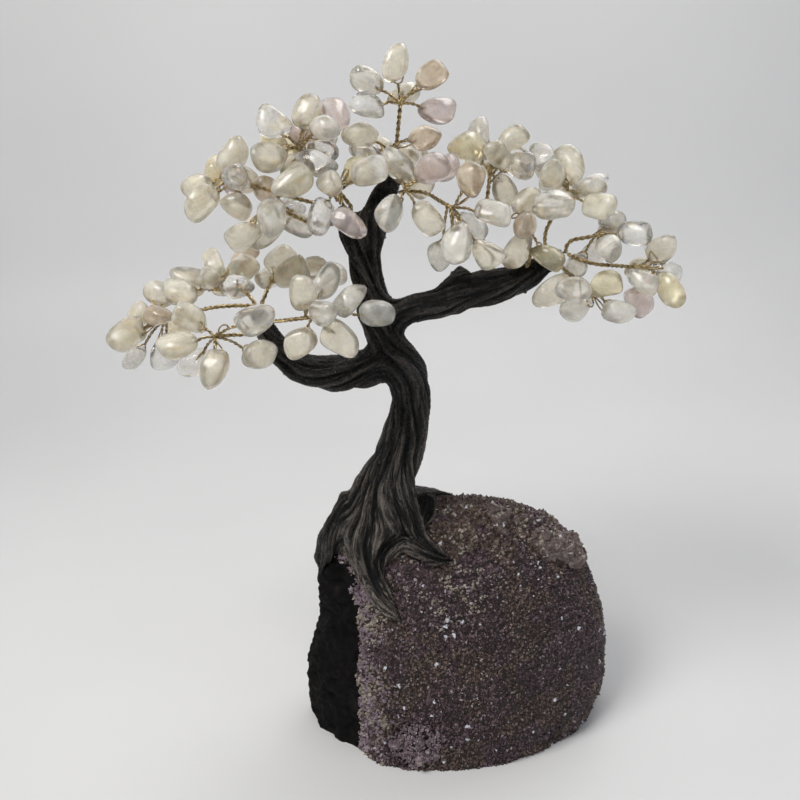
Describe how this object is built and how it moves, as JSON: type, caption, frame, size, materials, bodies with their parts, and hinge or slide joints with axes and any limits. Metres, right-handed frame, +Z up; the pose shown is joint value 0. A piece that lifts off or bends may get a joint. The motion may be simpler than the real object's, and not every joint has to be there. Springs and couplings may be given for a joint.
{
  "type": "gemstone tree ornament",
  "caption": "Bonsai-style wire tree with tumbled quartz stones for leaves, a sculpted clay trunk and roots, standing on an amethyst druse block.",
  "frame": {"origin": "centre of the block's flat underside, on the table", "axes": "+X to the right of the show face, +Y away from the viewer of that face, +Z up along the tree"},
  "size_m": [0.2647, 0.1095, 0.3443],
  "materials": {
    "rock": "matte",
    "druse": "gloss",
    "crystal": "gloss",
    "clay": "satin",
    "core_wire": "satin",
    "gilt_wire": "satin",
    "quartz": "gloss"
  },
  "bodies": {
    "block_and_tree": {"rock_matrix": "rock", "druse_crust": "druse", "crest_crystals": "crystal", "lower_crystals": "crystal", "trunk": "clay", "root_front": "clay", "root_right": "clay", "root_left": "clay", "root_back": "clay", "root_rear_right": "clay", "cut_stub": "clay", "limb_left": "clay", "limb_centre": "clay", "limb_fork": "clay", "limb_right": "clay", "limb_spur": "clay", "armature_left": "core_wire", "armature_centre": "core_wire", "armature_right": "core_wire"},
    "spray_left_low": {"wires_left_low": "gilt_wire", "stones_left_low": "quartz"},
    "spray_left_far": {"wires_left_far": "gilt_wire", "stones_left_far": "quartz"},
    "spray_left_up": {"wires_left_up": "gilt_wire", "stones_left_up": "quartz"},
    "spray_left_right": {"wires_left_right": "gilt_wire", "stones_left_right": "quartz"},
    "spray_left_top": {"wires_left_top": "gilt_wire", "stones_left_top": "quartz"},
    "spray_fork_tip": {"wires_fork_tip": "gilt_wire", "stones_fork_tip": "quartz"},
    "spray_fork_far": {"wires_fork_far": "gilt_wire", "stones_fork_far": "quartz"},
    "spray_fork_low": {"wires_fork_low": "gilt_wire", "stones_fork_low": "quartz"},
    "spray_fork_front": {"wires_fork_front": "gilt_wire", "stones_fork_front": "quartz"},
    "spray_crown": {"wires_crown": "gilt_wire", "stones_crown": "quartz"},
    "spray_crown_low": {"wires_crown_low": "gilt_wire", "stones_crown_low": "quartz"},
    "spray_centre_front": {"wires_centre_front": "gilt_wire", "stones_centre_front": "quartz"},
    "spray_middle_front": {"wires_middle_front": "gilt_wire", "stones_middle_front": "quartz"},
    "spray_middle_back": {"wires_middle_back": "gilt_wire", "stones_middle_back": "quartz"},
    "spray_middle_right": {"wires_middle_right": "gilt_wire", "stones_middle_right": "quartz"},
    "spray_right_back": {"wires_right_back": "gilt_wire", "stones_right_back": "quartz"},
    "spray_right_mid": {"wires_right_mid": "gilt_wire", "stones_right_mid": "quartz"},
    "spray_right_far": {"wires_right_far": "gilt_wire", "stones_right_far": "quartz"},
    "spray_right_low": {"wires_right_low": "gilt_wire", "stones_right_low": "quartz"}
  },
  "joints": [
    {"name": "bend_left_low", "type": "hinge", "parent": "block_and_tree", "child": "spray_left_low", "pos_m": [-0.07789, -0.01234, 0.23014], "axis": [-0.6239, 0.7815, 0], "range_deg": [-8, 10]},
    {"name": "bend_left_far", "type": "hinge", "parent": "block_and_tree", "child": "spray_left_far", "pos_m": [-0.07873, -0.00826, 0.23699], "axis": [0.0898, 0.996, 0], "range_deg": [-10, 4]},
    {"name": "bend_left_up", "type": "hinge", "parent": "block_and_tree", "child": "spray_left_up", "pos_m": [-0.07854, -0.00719, 0.23699], "axis": [0.5434, 0.8395, 0], "range_deg": [-3, 10]},
    {"name": "bend_left_right", "type": "hinge", "parent": "block_and_tree", "child": "spray_left_right", "pos_m": [-0.07191, -0.01141, 0.2303], "axis": [-0.4697, -0.8828, 0], "range_deg": [-10, 10]},
    {"name": "bend_left_top", "type": "hinge", "parent": "block_and_tree", "child": "spray_left_top", "pos_m": [-0.07613, -0.00676, 0.23699], "axis": [0.9888, -0.149, 0], "range_deg": [-10, 10]},
    {"name": "bend_fork_tip", "type": "hinge", "parent": "block_and_tree", "child": "spray_fork_tip", "pos_m": [-0.03825, 0.00158, 0.27999], "axis": [0.027, 0.9996, 0], "range_deg": [-0.5, 5]},
    {"name": "bend_fork_far", "type": "hinge", "parent": "block_and_tree", "child": "spray_fork_far", "pos_m": [-0.04027, -0.00008, 0.27736], "axis": [-0.0872, 0.9962, 0], "range_deg": [-4, 2]},
    {"name": "bend_fork_low", "type": "hinge", "parent": "block_and_tree", "child": "spray_fork_low", "pos_m": [-0.03939, -0.00227, 0.27161], "axis": [-0.2609, 0.9654, 0], "range_deg": [-8, 0.5]},
    {"name": "bend_fork_front", "type": "hinge", "parent": "block_and_tree", "child": "spray_fork_front", "pos_m": [-0.03449, -0.00222, 0.27608], "axis": [-0.9112, 0.4119, 0], "range_deg": [-3, 5]},
    {"name": "bend_crown", "type": "hinge", "parent": "block_and_tree", "child": "spray_crown", "pos_m": [-0.01176, 0.00539, 0.2899], "axis": [0, 1, 0], "range_deg": [-10, 4]},
    {"name": "bend_crown_low", "type": "hinge", "parent": "block_and_tree", "child": "spray_crown_low", "pos_m": [-0.0172, 0.00736, 0.28822], "axis": [0.969, -0.247, 0], "range_deg": [-8, 3]},
    {"name": "bend_centre_front", "type": "hinge", "parent": "block_and_tree", "child": "spray_centre_front", "pos_m": [-0.01194, 0.00015, 0.28824], "axis": [-0.9634, -0.2679, 0], "range_deg": [-4, 6]},
    {"name": "bend_middle_front", "type": "hinge", "parent": "block_and_tree", "child": "spray_middle_front", "pos_m": [-0.01089, 0.0025, 0.28207], "axis": [-0.6671, -0.7449, 0], "range_deg": [-2, 6]},
    {"name": "bend_middle_back", "type": "hinge", "parent": "block_and_tree", "child": "spray_middle_back", "pos_m": [0.0256, 0.00229, 0.24503], "axis": [0, 1, 0], "range_deg": [-1, 2]},
    {"name": "bend_middle_right", "type": "hinge", "parent": "block_and_tree", "child": "spray_middle_right", "pos_m": [0.04416, -0.00828, 0.2476], "axis": [0, 1, 0], "range_deg": [-3, 4]},
    {"name": "bend_right_back", "type": "hinge", "parent": "block_and_tree", "child": "spray_right_back", "pos_m": [0.05514, -0.00034, 0.25113], "axis": [0.7708, -0.6371, 0], "range_deg": [-8, 2]},
    {"name": "bend_right_mid", "type": "hinge", "parent": "block_and_tree", "child": "spray_right_mid", "pos_m": [0.06272, -0.00361, 0.25149], "axis": [-0.0255, -0.9997, 0], "range_deg": [-1, 8]},
    {"name": "bend_right_far", "type": "hinge", "parent": "block_and_tree", "child": "spray_right_far", "pos_m": [0.06317, -0.00617, 0.25149], "axis": [0.0053, -1, 0], "range_deg": [-8, 1]},
    {"name": "bend_right_low", "type": "hinge", "parent": "block_and_tree", "child": "spray_right_low", "pos_m": [0.05973, -0.00914, 0.24873], "axis": [-0.5197, -0.8543, 0], "range_deg": [-8, 8]}
  ]
}
